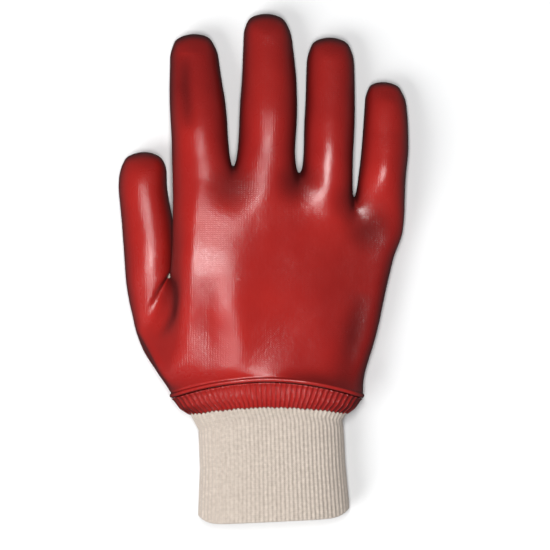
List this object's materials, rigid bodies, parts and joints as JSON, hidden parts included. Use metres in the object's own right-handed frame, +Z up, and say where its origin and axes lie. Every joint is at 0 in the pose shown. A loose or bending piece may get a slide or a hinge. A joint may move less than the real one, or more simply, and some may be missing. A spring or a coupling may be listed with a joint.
{
  "type": "pvc coated work glove",
  "caption": "Hollow dipped work glove for the right hand, lying palm down with fingers spread, with a ribbed knit wrist dipped at its top.",
  "frame": {"origin": "middle of the glove's bounding box, on the table that it rests on", "axes": "+X across the hand away from the thumb, +Y along the hand towards the fingertips, +Z up out of the back of the hand"},
  "size_m": [0.1536, 0.2704, 0.0424],
  "materials": {
    "coating": "smooth, softly glossy dipped coating",
    "coated_rib": "glossy dipped coating over ribs",
    "knit": "undyed cotton rib knit"
  },
  "bodies": {
    "root": {"coated_hand": "coating", "coated_rib_band": "coated_rib", "knit_cuff": "knit"}
  },
  "joints": []
}
